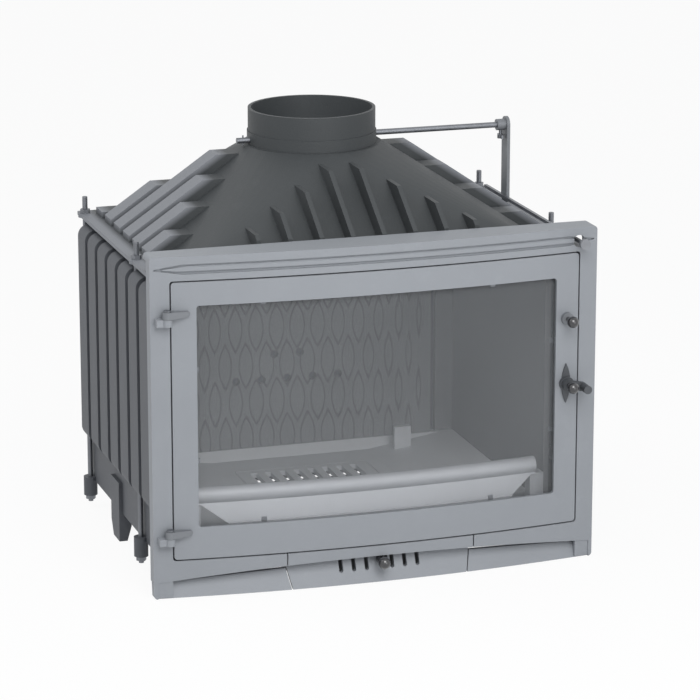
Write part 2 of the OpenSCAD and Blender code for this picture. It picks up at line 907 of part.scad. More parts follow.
module register_openings(extra) {
    for (i = [0:register_slots - 1]) {
        x = (i < register_slots / 2 ? i - register_slots / 2 : i - register_slots / 2 + 1) * slot_pitch;
        translate([x, 0]) {
            translate([-slot_w / 2 - extra, slot_z + slot_w / 2]) square([slot_w + 2 * extra, slot_h - slot_w]);
            translate([0, slot_z + slot_w / 2]) circle(r = slot_w / 2 + extra);
            translate([0, slot_z + slot_h - slot_w / 2]) circle(r = slot_w / 2 + extra);
        }
    }
}

// How far back the apron's face lies at a height z
function apron_at(z) = apron_foot_step + (apron_step - apron_foot_step) * z / plate_edge_z;

module drawer_front_shell() {
    shelf = apron_t - bite;
    low = plate_edge_z - plate_edge_drop / 4;
    // Strip in line with the front plate, whose arch it goes on with
    bow_slab(0, front_t) difference() {
        translate([-drawer_w / 2, low]) square([drawer_w, door_z - door_gap - low]);
        below_arch(plate_edge_z, plate_arch_r);
    }
    // Shelf and sloping face
    intersection() {
        bow_sweep() polygon([
            [front_t - bite, plate_edge_z + bite / 2], [front_t - bite, plate_edge_z + shelf],
            [apron_step + apron_t, plate_edge_z + shelf], [apron_step + apron_t, plate_edge_z],
            [apron_foot_step + apron_t, 0], [apron_foot_step, 0], [apron_step, plate_edge_z + bite / 2]
        ]);
        through_front() drawer_bay(0);
    }
}

module drawer_front() {
    y0 = bow_at(pan_w / 2) + apron_t / 2;
    y1 = pan_front + pan_lug_l;
    color([0.61, 0.63, 0.66]) at_front() difference() {
        union() {
            drawer_front_shell();
            // Lugs that carry the ash pan
            both_sides() translate([pan_w / 2, 0, 0]) rotate([90, 0, 90]) linear_extrude(height = pan_lug_t)
                polygon([
                    [y0 + apron_at(pan_z), pan_z], [y1, pan_z],
                    [y1, pan_z + pan_h], [y0 + apron_at(pan_z + pan_h), pan_z + pan_h]
                ]);
        }
        // Air slots, hidden at their tops by the strip
        translate([0, bow_at(0) + front_t + bite + apron_step + apron_t, 0]) rotate([90, 0, 0])
            linear_extrude(height = apron_step + apron_t) register_openings(0);
        // Slot for the slider's stem
        translate([slider_travel / 2, 0, 0]) through_front()
            round_rect(slider_travel + 2 * slider_stem_r + bite, slider_knob_z - slider_stem_r - bite / 2,
                2 * slider_stem_r + bite, slider_stem_r);
    }
}

pan_front = bow_at(pan_w / 2) + apron_step + apron_t + slider_t + 2 * slider_play + bite;

module ash_pan() {
    color([0.42, 0.43, 0.45]) at_front() difference() {
        translate([-pan_w / 2, pan_front, pan_z]) cube([pan_w, pan_l, pan_h]);
        translate([-pan_w / 2 + pan_t, pan_front + pan_t, pan_z + pan_t])
            cube([pan_w - 2 * pan_t, pan_l - 2 * pan_t, pan_h]);
    }
}

module air_slider() {
    slider_l = (register_slots + 1) * slot_pitch + slot_w;
    d = slider_play;
    color([0.35, 0.36, 0.38]) at_front() difference() {
        intersection() {
            bow_sweep() polygon([
                [apron_foot_step + apron_t + d, 0],
                [apron_foot_step + apron_t + d + slider_t, 0],
                [apron_step + apron_t + d + slider_t, plate_edge_z],
                [apron_step + apron_t + d, plate_edge_z]
            ]);
            translate([-slider_l / 2, -through / 2, slot_z - slot_w / 2])
                cube([slider_l, through, plate_edge_z - slot_z]);
        }
        through_front() register_openings(0);
        translate([0, 0, slider_knob_z]) rotate([90, 0, 0])
            cylinder(r = slider_stem_r, h = through, center = true);
    }
}

module slider_knob() {
    color([0.05, 0.05, 0.06]) at_front() translate([0, 0, slider_knob_z]) {
        translate([0, -slider_ball_out, 0]) sphere(r = slider_ball_r);
        rotate([90, 0, 0]) cylinder(r = slider_stem_r, h = slider_ball_out);
        face = front_bulge - apron_step / 2;
        translate([0, -face, 0]) rotate([90, 0, 0])
            cylinder(r = slider_collar_r, h = slider_ball_out - face - slider_ball_r + bite);
    }
}

// Door

module door_frame() {
    color([0.61, 0.63, 0.66]) at_front() difference() {
        union() {
            bow_slab(0, door_t) difference() {
                round_rect(door_w, door_z, door_h, door_corner_r);
                round_rect(window_w, window_z, window_h, window_corner_r);
            }
            bow_slab(door_t - bite, door_rim)
                ring_rect(door_w, door_z, door_h, door_corner_r, door_rim_w);
            // Pads for the latch, the knob and the glass clips
            bow_slab(door_t - bite, door_rim - rope_seat) union() {
                translate([latch_x, latch_z]) circle(r = spindle_r * spindle_pad_share);
                translate([latch_x, pull_z]) circle(r = spindle_r * spindle_pad_share);
            }
            bow_slab(door_t - bite, glass_d + glass_t) for (p = clip_points) {
                translate([p[0], p[1]]) circle(r = clip_head_r);
            }
        }
        clip_shanks();
        // Channel for the rope
        bow_slab(door_rim - rope_seat, door_rim + cut)
            ring_rect(door_w - rope_w, door_z + rope_w / 2, door_h - rope_w, door_corner_r, rope_w);
        // Hole for the latch spindle
        translate([latch_x, 0, latch_z]) rotate([90, 0, 0])
            cylinder(r = spindle_r + spindle_play, h = through, center = true);
        translate([latch_x, 0, pull_z]) rotate([90, 0, 0])
            cylinder(r = pull_stem_r, h = through, center = true);
    }
}

clip_mid_z = window_z + window_h / 2;
clip_off = clip_head_r + glass_seal_t;
clip_points = [
    for (s = [-1, 1]) [s * (glass_w / 2 + clip_off), clip_mid_z + clip_spread],
    for (s = [-1, 1]) [s * (glass_w / 2 + clip_off), clip_mid_z - clip_spread],
    for (s = [-1, 1]) [s * clip_reach, window_z - glass_lap - clip_off],
    for (s = [-1, 1]) [s * clip_reach, window_top + glass_lap + clip_off]
];

spindle_pad_share = 1.5;

module clip_shanks() {
    for (p = clip_points) {
        translate([p[0], bow_at(p[0]) + glass_d + glass_t + clip_t + bite, p[1]]) rotate([90, 0, 0])
            cylinder(r = clip_screw_r, h = clip_t + glass_t + bite);
    }
}

module door_glass() {
    color([0.55, 0.58, 0.60, 0.35]) at_front() bow_slab(glass_d, glass_d + glass_t)
        round_rect(glass_w, window_z - glass_lap, glass_h, window_corner_r);
}

module glass_seal() {
    color([0.85, 0.84, 0.80]) at_front() bow_slab(door_t, glass_d)
        ring_rect(glass_w, window_z - glass_lap, glass_h, window_corner_r, glass_seal_w);
}

module door_seal() {
    color([0.80, 0.79, 0.75]) at_front() bow_slab(door_rim - rope_seat, stop_depth - rope_play)
        ring_rect(door_w - rope_w, door_z + rope_w / 2, door_h - rope_w, door_corner_r, rope_w);
}

module glass_clips() {
    color([0.55, 0.56, 0.58]) at_front() difference() {
        for (p = clip_points) {
            side = abs(p[0]) > window_w / 2;
            bow_slab(glass_d + glass_t, glass_d + glass_t + clip_t)
                translate([p[0] - (side ? sign(p[0]) * (clip_l / 2 - clip_w / 2) : 0),
                        p[1] + (side ? 0 : (p[1] > clip_mid_z ? -1 : 1) * (clip_l / 2 - clip_w / 2))])
                    square(side ? [clip_l, clip_w] : [clip_w, clip_l], center = true);
        }
        for (p = clip_points) {
            translate([p[0], 0, p[1]]) rotate([90, 0, 0]) cylinder(r = clip_screw_r, h = through, center = true);
        }
    }
}

module clip_screws() {
    color([0.70, 0.70, 0.70]) at_front() for (p = clip_points) {
        translate([p[0], bow_at(p[0]) + glass_d + glass_t + clip_t + clip_seat, p[1]]) rotate([-90, 0, 0])
            cylinder(r = clip_head_r, h = clip_head_h);
    }
    color([0.70, 0.70, 0.70]) at_front() clip_shanks();
}

clip_seat = 0.45;

module hinge_arm(z) {
    face = bow_at(hinge_x - arm_reach);
    difference() {
        union() {
            translate([-hinge_x, -hinge_out, z]) cylinder(r = barrel_r, h = barrel_h);
            // Arm that tapers from the barrel to its round tip on the door
            intersection() {
                translate([-hinge_x, 0, z + barrel_h / 2]) rotate([90, 0, 0])
                    linear_extrude(height = through, center = true) union() {
                        circle(r = arm_tip_r);
                        translate([arm_reach, 0]) circle(r = arm_tip_r);
                        polygon([
                            [0, barrel_h / 2], [arm_reach, arm_tip_r],
                            [arm_reach, -arm_tip_r], [0, -barrel_h / 2]
                        ]);
                    }
                translate([-hinge_x, -hinge_out, z]) linear_extrude(height = barrel_h) polygon([
                    [0, -barrel_r], [arm_reach, face + hinge_out - arm_depth / 2],
                    [arm_reach + arm_tip_r, face + hinge_out - arm_depth / 2 + bite],
                    [arm_reach + arm_tip_r, face + hinge_out + bite],
                    [barrel_h, face + hinge_out + bite], [barrel_h, barrel_r - bite], [0, barrel_r - bite]
                ]);
            }
        }
        translate([-hinge_x, -hinge_out, z - cut]) cylinder(r = pin_r + pin_play, h = barrel_h + 2 * cut);
        translate([0, 0, -cut]) behind(0);
        // The arm stays clear of the frame beside the door
        intersection() {
            translate([0, 0, -cut]) behind(-hinge_gap);
            translate([-half_w, -half_w, 0]) cube([half_w - door_w / 2, front_w, front_h]);
        }
    }
}

module hinge_arms() {
    color([0.42, 0.43, 0.45]) at_front() {
        hinge_arm(upper_hinge_z);
        hinge_arm(lower_hinge_z);
    }
}

module hinge_pins() {
    color([0.35, 0.36, 0.38]) at_front() for (z = [upper_hinge_z, lower_hinge_z]) {
        translate([-hinge_x, -hinge_out, z - hinge_gap - lug_h])
            cylinder(r = pin_r, h = lug_h + 2 * hinge_gap + barrel_h + bite);
        translate([-hinge_x, -hinge_out, z + barrel_h + hinge_gap]) cylinder(r = pin_head_r, h = pin_head_h);
    }
}

// Latch and knobs

latch_face = bow_at(latch_x);

module lens(l, w) {
    lens_r = (l * l + w * w) / (4 * w);
    intersection() {
        translate([lens_r - w / 2, 0]) circle(r = lens_r, $fn = bow_facets);
        translate([-lens_r + w / 2, 0]) circle(r = lens_r, $fn = bow_facets);
    }
}

module latch_plate() {
    color([0.50, 0.51, 0.53]) at_front() difference() {
        union() {
            intersection() {
                difference() {
                    behind(-latch_plate_t);
                    translate([0, 0, -cut]) behind(0);
                }
                translate([latch_x, 0, latch_z]) rotate([90, 0, 0])
                    linear_extrude(height = through, center = true) lens(latch_plate_l, latch_plate_w);
            }
            difference() {
                translate([latch_x, latch_face - latch_boss_l + bite, latch_z]) rotate([-90, 0, 0])
                    cylinder(r = latch_boss_r, h = latch_boss_l);
                translate([0, 0, -cut]) behind(0);
            }
        }
        translate([latch_x, 0, latch_z]) rotate([90, 0, 0])
            cylinder(r = spindle_r + spindle_play, h = through, center = true);
    }
}

handle_y = latch_face - latch_boss_l - handle_t;
catch_y = side_start + seat_play;
catch_play = 2;

module latch_handle() {
    color([0.45, 0.46, 0.48]) at_front() {
        translate([latch_x, handle_y, latch_z]) rotate([-90, 0, 0])
            cylinder(r = spindle_r, h = catch_y + catch_t - handle_y);
        // Arm from the spindle to the peg
        translate([latch_x, handle_y + handle_t, latch_z]) rotate([90, 0, 0])
            linear_extrude(height = handle_t) union() {
                circle(r = handle_root_r);
                translate([peg_reach, -peg_drop]) circle(r = peg_r);
                polygon([
                    [0, handle_root_r - bite], [peg_reach, peg_r - peg_drop],
                    [peg_reach, -peg_r - peg_drop], [0, -handle_root_r + bite]
                ]);
            }
        translate([latch_x + peg_reach, handle_y + bite, latch_z - peg_drop]) rotate([90, 0, 0])
            cylinder(r = peg_r, h = peg_l);
    }
}

module latch_ball() {
    color([0.05, 0.05, 0.06]) at_front() difference() {
        union() {
            translate([latch_x, -latch_ball_out, latch_z]) sphere(r = latch_ball_r);
            translate([latch_x, handle_y, latch_z]) rotate([90, 0, 0])
                cylinder(r = spindle_r, h = latch_ball_out + handle_y);
        }
    }
}

module latch_catch() {
    color([0.40, 0.41, 0.43]) at_front() difference() {
        translate([latch_x, catch_y + catch_t, latch_z]) rotate([90, 0, 0]) linear_extrude(height = catch_t) union() {
            circle(r = catch_w / 2 + bite / 2);
            translate([-catch_w / 2, 0]) square([catch_w, catch_l]);
        }
        translate([latch_x, 0, latch_z]) rotate([90, 0, 0]) cylinder(r = spindle_r, h = through, center = true);
    }
}

module pull_knob() {
    color([0.05, 0.05, 0.06]) at_front() translate([latch_x, 0, pull_z]) {
        translate([0, -pull_ball_out, 0]) sphere(r = pull_ball_r);
        translate([0, latch_face + door_rim - rope_seat, 0]) rotate([90, 0, 0])
            cylinder(r = pull_stem_r, h = pull_ball_out + latch_face + door_rim - rope_seat);
    }
}

module pull_base() {
    color([0.45, 0.46, 0.48]) at_front() difference() {
        translate([latch_x, -pull_base_out, pull_z]) rotate([-90, 0, 0])
            cylinder(r = pull_base_r, h = pull_base_out);
        translate([0, 0, -cut]) behind(0);
        translate([latch_x, 0, pull_z]) rotate([90, 0, 0]) cylinder(r = pull_stem_r, h = through, center = true);
    }
}

// Casing

// A pleat seen from the front, drawn in by a wall on all sides
module pleat_outline(wall) {
    z0 = pleat_z + wall;
    z1 = pleat_top_z - wall;
    x0 = side_inner + bite;
    x1 = side_outer + pleat_depth - wall;
    r = pleat_round - wall;
    translate([x0 - wall, z0]) square([x1 - x0 - r + wall, z1 - z0]);
    translate([x0 - wall, z0 + r]) square([x1 - x0 + wall, z1 - z0 - 2 * r]);
    translate([x1 - r, z0 + r]) circle(r = r);
    translate([x1 - r, z1 - r]) circle(r = r);
}

module side_plate() {
    rear = body_depth - rear_t;
    difference() {
        union() {
            translate([side_inner, side_start, base_top]) cube([side_t, rear - side_start, flange_z - base_top]);
            // Front flange that the front frame is bolted to
            translate([side_outer - bite, side_start, pleat_z]) cube([flange_w + bite, side_t, flange_z - pleat_z]);
            for (y = pleat_share) {
                translate([0, y + pleat_w, 0]) rotate([90, 0, 0])
                    linear_extrude(height = pleat_w) pleat_outline(0);
            }
        }
        // The pleats are hollow from the inside
        for (y = pleat_share) {
            translate([0, y + pleat_w - pleat_wall, 0]) rotate([90, 0, 0])
                linear_extrude(height = pleat_w - 2 * pleat_wall) pleat_outline(pleat_wall);
        }
        bolt_places(side_start - cut) cylinder(r = bolt_r, h = side_t + 2 * cut);
    }
}

bolt_x = side_outer + bolt_head_r + bite;
bolt_heights = [pleat_z + pleat_pitch, pleat_top_z - pleat_pitch];

module bolt_places(y) {
    for (x = [-bolt_x, bolt_x]) {
        for (z = bolt_heights) {
            translate([x, y, z]) rotate([-90, 0, 0]) children();
        }
    }
}

module right_side_plate() {
    color([0.33, 0.34, 0.36]) at_front() side_plate();
}

module left_side_plate() {
    color([0.33, 0.34, 0.36]) at_front() mirror([1, 0, 0]) side_plate();
}

module rear_plate() {
    w = body_w;
    color([0.33, 0.34, 0.36]) at_front() {
        translate([-w / 2, body_depth - rear_t, base_top]) cube([w, rear_t, flange_z - base_top]);
        for (i = [0:rear_ribs - 1]) {
            translate([(i - (rear_ribs - 1) / 2) * rear_rib_pitch - rear_rib_w / 2, body_depth - bite, base_top + pleat_round])
                cube([rear_rib_w, rear_rib_depth + bite, flange_z - base_top - 2 * pleat_round]);
        }
    }
}

module tie_places() {
    for (y = [tie_front_y, tie_rear_y]) {
        for (x = [-tie_x, tie_x]) {
            translate([x, y, 0]) children();
        }
    }
}

module base_plate() {
    hole_w = grate_w - 2 * grate_seat;
    color([0.30, 0.31, 0.33]) at_front() difference() {
        union() {
            translate([-side_outer, side_start, base_z]) cube([body_w, body_depth - side_start, base_t]);
            tie_places() translate([0, 0, base_z - base_lug_h]) cylinder(r = tie_lug_r, h = base_lug_h + base_t);
        }
        translate([-hole_w / 2, grate_rear_y - grate_l + grate_seat, base_z - cut])
            cube([hole_w, grate_l - 2 * grate_seat, base_t + 2 * cut]);
        tie_places() translate([0, 0, base_z - base_lug_h - cut])
            cylinder(r = tie_r, h = base_lug_h + base_t + 2 * cut);
    }
}

module drawer_rails() {
    web_x = pan_w / 2 + pan_play;
    color([0.32, 0.33, 0.35]) at_front() both_sides() {
        translate([web_x, side_start + ledge_reach, pan_z - pan_play - pan_t])
            cube([pan_t, rail_l, base_z - pan_z + pan_play + pan_t]);
        translate([web_x - rail_foot, side_start + ledge_reach, pan_z - pan_play - pan_t])
            cube([rail_foot + bite / 2, rail_l, pan_t]);
        translate([web_x, side_start + ledge_reach, base_z - pan_t]) cube([rail_foot, rail_l, pan_t]);
    }
}

pan_play = 0.6;
rail_foot = 12;

module feet() {
    color([0.30, 0.31, 0.33]) at_front() both_sides() {
        // Flange that faces the side
        translate([foot_x, foot_y, 0]) rotate([90, 0, -90]) mirror([1, 0, 0]) linear_extrude(height = foot_t) polygon([
            [0, foot_top_z], [foot_l, foot_top_z], [foot_l, foot_taper_z],
            [foot_l - foot_taper * 2, 0], [0, 0]
        ]);
        // Flange that faces the front
        translate([foot_x - foot_w, foot_y + foot_t, 0]) rotate([90, 0, 0]) linear_extrude(height = foot_t) polygon([
            [foot_w, 0], [foot_taper, 0], [0, foot_taper_z], [0, base_z], [foot_w, base_z]
        ]);
    }
}

// Hood

hood_outline = [
    [-hood_front_x, hood_front_y], [hood_front_x, hood_front_y],
    [hood_foot_x, hood_side_front_y], [hood_foot_x, hood_side_rear_y],
    [hood_rear_x, hood_rear_y], [-hood_rear_x, hood_rear_y],
    [-hood_foot_x, hood_side_rear_y], [-hood_foot_x, hood_side_front_y]
];

// The same outline drawn in by the wall
hood_inner = [for (p = hood_outline) [
    p[0] - sign(p[0]) * hood_t * 1.5,
    p[1] + (p[1] < flue_y ? 1.5 : -1) * hood_t
]];

module hood_shape(outline, r, z0, z1) {
    hull() {
        translate([0, 0, z0]) linear_extrude(height = hood_flange_t / 2) polygon(outline);
        translate([0, flue_y, z1 - hood_flange_t / 2]) cylinder(r = r, h = hood_flange_t / 2, $fn = hood_facets);
    }
}

// Where the hood's front slope meets its corner, for a fin at x
function fin_share(x) = (hood_front_x - abs(x)) / hood_front_x;

module front_fin(x) {
    share = fin_share(x);
    y1 = hood_front_y + share * (flue_y - flare_r - hood_front_y);
    z1 = hood_z + share * hood_rise;
    yo = y1 - fin_reach;
    zo = z1 - (yo - fin_front_y) * fin_rise;
    translate([x - fin_t / 2, 0, 0]) rotate([90, 0, 90]) linear_extrude(height = fin_t) polygon([
        [y1 + hood_t, z1 - hood_t / 2], [y1, z1], [yo, z1],
        [fin_front_y, zo], [fin_front_y, hood_z - bite], [fin_front_y + hood_t, hood_z - bite]
    ]);
}

// Where the hood's side slope meets its corner, for a rib that starts at y
function rib_share(y) = y < flue_y - rib_w
    ? (y - hood_side_front_y) / (flue_y - hood_side_front_y)
    : y < flue_y ? (flue_y - rib_w / 2 - hood_side_front_y) / (flue_y - hood_side_front_y)
    : (hood_side_rear_y - y - rib_w / 2) / (hood_side_rear_y - flue_y);

module side_rib(y) {
    share = max(rib_share(y), 0.08);
    x1 = hood_foot_x - share * (hood_foot_x - flare_r);
    z1 = hood_z + share * hood_rise;
    slope = hood_rise / (hood_foot_x - flare_r);
    zo = z1 - (rib_end_x - x1 - rib_reach) * slope;
    translate([0, y + rib_w, 0]) rotate([90, 0, 0]) linear_extrude(height = rib_w) polygon([
        [x1 - hood_t, z1 - hood_t / 2], [x1, z1], [x1 + rib_reach, z1],
        [rib_end_x, zo], [rib_end_x, hood_z - bite], [hood_foot_x - hood_t, hood_z - bite]
    ]);
}

module hood() {
    color([0.30, 0.31, 0.33]) at_front() difference() {
        union() {
            hood_shape(hood_outline, flare_r, hood_z - bite, hood_top_z);
            // Flange and its lugs
            translate([-hood_flange_x, hood_flange_start, flange_z])
                cube([2 * hood_flange_x, body_depth - hood_flange_start, hood_flange_t]);
            tie_places() translate([0, 0, flange_z]) cylinder(r = tie_lug_r, h = hood_flange_t);
            for (i = [0:fins - 1]) {
                front_fin((i - (fins - 1) / 2) * fin_pitch);
            }
            both_sides() for (i = [0:ribs - 1]) {
                side_rib(rib_first_y + i * rib_pitch);
            }
            translate([0, flue_y, hood_top_z - flare_h]) {
                cylinder(r = flare_r, h = flare_h);
                cylinder(r = collar_r + collar_step, h = collar_seat_z - hood_top_z + flare_h);
                cylinder(r = collar_r, h = collar_top_z - hood_top_z + flare_h);
            }
        }
        // Smoke space
        hood_shape(hood_inner, collar_r - collar_t, flange_z - hood_flange_t, hood_top_z);
        translate([0, flue_y, hood_z]) cylinder(r = collar_r - collar_t, h = collar_top_z);
        // Bores for the damper's shaft
        translate([0, flue_y, shaft_z]) rotate([0, 90, 0])
            cylinder(r = shaft_r + shaft_play, h = through, center = true);
        tie_places() translate([0, 0, flange_z - cut]) cylinder(r = tie_r, h = tie_over);
    }
}

tie_foot = base_z - base_lug_h - tie_under;

module tie_rods() {
    color([0.45, 0.46, 0.48]) at_front() tie_places()
        translate([0, 0, tie_foot]) cylinder(r = tie_r, h = hood_z + tie_over - tie_foot);
}

module nut() {
    difference() {
        cylinder(d = nut_d, h = nut_h, $fn = 6);
        translate([0, 0, -cut]) cylinder(r = tie_r, h = nut_h + 2 * cut);
    }
}

module tie_nuts() {
    color([0.50, 0.51, 0.53]) at_front() tie_places() {
        translate([0, 0, base_z - base_lug_h - nut_h]) nut();
        translate([0, 0, hood_z]) nut();
    }
}

module frame_bolts() {
    color([0.45, 0.46, 0.48]) at_front() {
        bolt_places(side_start + side_t) cylinder(r = bolt_head_r, h = bolt_head_h, $fn = 6);
        bolt_places(side_start - bolt_depth) cylinder(r = bolt_r, h = bolt_depth + side_t + bite);
    }
}

// Damper and its control

module damper_shaft() {
    color([0.55, 0.56, 0.58]) at_front() difference() {
        translate([-shaft_left, flue_y, shaft_z]) rotate([0, 90, 0]) cylinder(r = shaft_r, h = shaft_left + shaft_right);
        translate([-split_x, flue_y, shaft_z]) cylinder(r = split_r, h = split_l, center = true);
    }
}

module damper_plate() {
    color([0.30, 0.31, 0.33]) at_front() translate([0, flue_y, shaft_z]) difference() {
        union() {
            cylinder(r = damper_r, h = damper_t, center = true);
            rotate([0, 90, 0]) cylinder(r = damper_boss_r, h = damper_r, center = true);
        }
        rotate([0, 90, 0]) cylinder(r = shaft_r, h = through, center = true);
    }
}

module damper_lever() {
    color([0.38, 0.39, 0.41]) at_front() difference() {
        union() {
            translate([lever_x, flue_y - lever_w / 2, pivot_z]) cube([lever_t, lever_w, lever_l]);
            translate([lever_x, flue_y, pivot_z]) rotate([0, 90, 0]) cylinder(r = lever_w / 2 - bite, h = lever_t);
            translate([lever_x, flue_y, shaft_z]) rotate([0, 90, 0]) cylinder(r = lever_w / 2, h = lever_t);
            translate([lever_x - lever_head_l, flue_y, shaft_z]) rotate([0, 90, 0])
                cylinder(r = lever_head_r, h = lever_head_l + bite);
        }
        translate([0, flue_y, shaft_z]) rotate([0, 90, 0]) cylinder(r = shaft_r, h = through);
        translate([0, flue_y, pivot_z]) rotate([0, 90, 0]) cylinder(r = pivot_r + shaft_play, h = through);
        translate([lever_x - lever_head_l / 2, flue_y, 0]) cylinder(r = wing_bolt_r, h = shaft_z);
    }
}

module split_pin() {
    color([0.70, 0.70, 0.72]) at_front() translate([-split_x, flue_y, shaft_z])
        cylinder(r = split_r, h = split_l, center = true);
}

module wing_bolt() {
    foot = shaft_z - lever_head_r - wing_bolt_l;
    color([0.40, 0.41, 0.43]) at_front() translate([lever_x - lever_head_l / 2, flue_y, 0]) {
        translate([0, 0, foot]) cylinder(r = wing_bolt_r, h = shaft_z - shaft_r - foot);
        translate([-wing_t / 2, -wing_span / 2, foot]) cube([wing_t, wing_span, wing_h]);
        translate([0, 0, foot]) cylinder(r = wing_bolt_r * 2, h = wing_h);
    }
}

module control_rod() {
    front = -knob_out + knob_l;
    color([0.25, 0.26, 0.28]) at_front() difference() {
        translate([rod_x, front, pivot_z - rod_h / 2]) cube([rod_w, flue_y + rod_tail - front, rod_h]);
        translate([0, flue_y, pivot_z]) rotate([0, 90, 0]) cylinder(r = pivot_r / 2, h = through);
    }
}

module rod_pivot() {
    color([0.60, 0.61, 0.63]) at_front() translate([rod_x, flue_y, pivot_z]) rotate([0, 90, 0]) {
        cylinder(r = pivot_r / 2, h = rod_w + bite / 2);
        translate([0, 0, rod_w]) cylinder(r = pivot_r, h = rod_play + lever_t + rod_play);
        translate([0, 0, rod_w + 2 * rod_play + lever_t]) cylinder(r = pivot_r * 2, h = rod_w / 2, $fn = 6);
    }
}

module control_knob() {
    color([0.62, 0.64, 0.67]) at_front() translate([rod_x + rod_w / 2, -knob_out, pivot_z]) rotate([-90, 0, 0])
        cylinder(r = knob_r, h = knob_l);
}

// Firebox

module lens_line(l, w) {
    difference() {
        lens(l, w);
        lens(l - 2 * engrave_w * l / w, w - 2 * engrave_w);
    }
}

// Lenses narrow from the middle to the sides
function lens_width(x) = max(lens_w * (1 - pow(abs(x) / (fireback_x + lens_pitch), 2)), engrave_w * 3);

module fireback() {
    mid_y = fireback_y + fireback_t / 2;
    color([0.50, 0.51, 0.53]) at_front() difference() {
        translate([-fireback_x, fireback_y, fireback_z])
            cube([2 * fireback_x, fireback_t, fireback_top_z - fireback_z]);
        // Engraved lenses, every other row set over by half a pitch
        intersection() {
            translate([-fireback_x + engrave_w * 2, fireback_y - cut, fireback_z - cut])
                cube([2 * fireback_x - engrave_w * 4, engrave_depth + cut, fireback_top_z - fireback_z + 2 * cut]);
            for (row = [0:lens_rows - 1]) {
                for (i = [0:lens_columns]) {
                    x = (i - lens_columns / 2 + (row % 2) / 2) * lens_pitch;
                    if (abs(x) < fireback_x - lens_pitch / 4) {
                        translate([x, mid_y, lens_z + row * lens_row]) rotate([90, 0, 0])
                            linear_extrude(height = fireback_t * 2, center = true) lens_line(lens_h, lens_width(x));
                    }
                }
            }
        }
        // Air holes
        for (i = [-2:2]) {
            translate([i * air_hole_pitch, mid_y, air_hole_z]) rotate([90, 0, 0])
                cylinder(r = air_hole_r, h = through, center = true);
        }
        for (i = [-1, 1]) {
            translate([i * air_hole_pitch / 2, mid_y, air_hole_z + air_hole_row]) rotate([90, 0, 0])
                cylinder(r = air_hole_r, h = through, center = true);
        }
    }
}

module lining() {
    rear = fireback_y + fireback_t;
    translate([lining_x, lining_y, lining_z]) cube([lining_t, rear - lining_y, fireback_top_z - lining_z]);
    // Rear return beside the fireback
    translate([lining_x - lining_return, fireback_y - bite, lining_z])
        cube([lining_return + bite, lining_t, fireback_top_z - lining_z]);
}

module right_lining() {
    color([0.36, 0.37, 0.39]) at_front() lining();
}

module left_lining() {
    color([0.36, 0.37, 0.39]) at_front() mirror([1, 0, 0]) lining();
}

module hearth_section(drop) {
    polygon([
        [-hearth_x, fireback_z - drop], [-hearth_x, lining_z],
        [-lining_x, lining_z], [-hearth_floor_x, hearth_z],
        [hearth_floor_x, hearth_z], [lining_x, lining_z],
        [hearth_x, lining_z], [hearth_x, fireback_z - drop],
        [hearth_floor_x + bite, hearth_z - drop], [-hearth_floor_x - bite, hearth_z - drop]
    ]);
}

module hearth() {
    rear = fireback_y + fireback_t;
    hole_y = grate_rear_y - grate_l;
    color([0.34, 0.35, 0.37]) at_front() {
        difference() {
            translate([0, rear, 0]) rotate([90, 0, 0]) linear_extrude(height = rear - hearth_y) hearth_section(hearth_t);
            translate([-grate_w / 2 - grate_gap, hole_y - grate_gap, base_top - cut])
                cube([grate_w + 2 * grate_gap, grate_l + 2 * grate_gap, hearth_z]);
        }
        // Rear slope up to the fireback's foot
        intersection() {
            rotate([90, 0, 90]) linear_extrude(height = 2 * hearth_x, center = true) polygon([
                [hearth_rear_y, hearth_z - bite], [rear, hearth_z - bite], [rear, fireback_z],
                [fireback_y - bite, fireback_z]
            ]);
            translate([0, rear, 0]) rotate([90, 0, 0]) linear_extrude(height = rear - hearth_y) polygon([
                [-lining_x, lining_z], [-hearth_floor_x, hearth_z - hearth_t],
                [hearth_floor_x, hearth_z - hearth_t], [lining_x, lining_z]
            ]);
        }
        // Upright tab by the fireback
        translate([tab_x, hearth_rear_y - tab_w, hearth_z]) cube([tab_w, tab_t, tab_h]);
    }
}

module grate() {
    y0 = grate_rear_y - grate_l;
    color([0.28, 0.29, 0.31]) at_front() difference() {
        translate([-grate_w / 2, y0, base_top]) cube([grate_w, grate_l, hearth_z - base_top]);
        for (i = [0:grate_slots - 1]) {
            x = (i - (grate_slots - 1) / 2) * grate_pitch;
            translate([x - grate_slot / 2, y0 + grate_border, base_top - cut])
                cube([grate_slot, grate_l - 2 * grate_border, hearth_z]);
        }
    }
}

module log_retainer() {
    slope_run = roll_depth - retainer_foot_depth;
    slope_rise = roll_z - retainer_foot_z;
    color([0.52, 0.53, 0.55]) at_front() {
        intersection() {
            union() {
                bow_sweep() union() {
                    translate([roll_depth, roll_z]) circle(r = roll_r);
                    polygon([
                        [retainer_foot_depth, retainer_foot_z],
                        [retainer_foot_depth + retainer_t, retainer_foot_z],
                        [roll_depth + retainer_t / 2, roll_z],
                        [roll_depth - retainer_t / 2, roll_z]
                    ]);
                    for (i = [1:3]) {
                        translate([
                            retainer_foot_depth + slope_run * i * line_pitch / slope_rise - line_r / 2,
                            retainer_foot_z + i * line_pitch
                        ]) circle(r = line_r, $fn = fine_facets);
                    }
                }
            }
            through_front() polygon([
                [-retainer_foot_x, retainer_foot_z - cut], [retainer_foot_x, retainer_foot_z - cut],
                [support_x - support_w, support_z], [roll_x, support_z], [roll_x, roll_z + roll_r + cut],
                [-roll_x, roll_z + roll_r + cut], [-roll_x, support_z], [support_w - support_x, support_z]
            ]);
        }
    }
}

// Height of the hearth's sloping side at a distance x from the middle
function hearth_at(x) = hearth_z + (x - hearth_floor_x) / (lining_x - hearth_floor_x) * (lining_z - hearth_z);

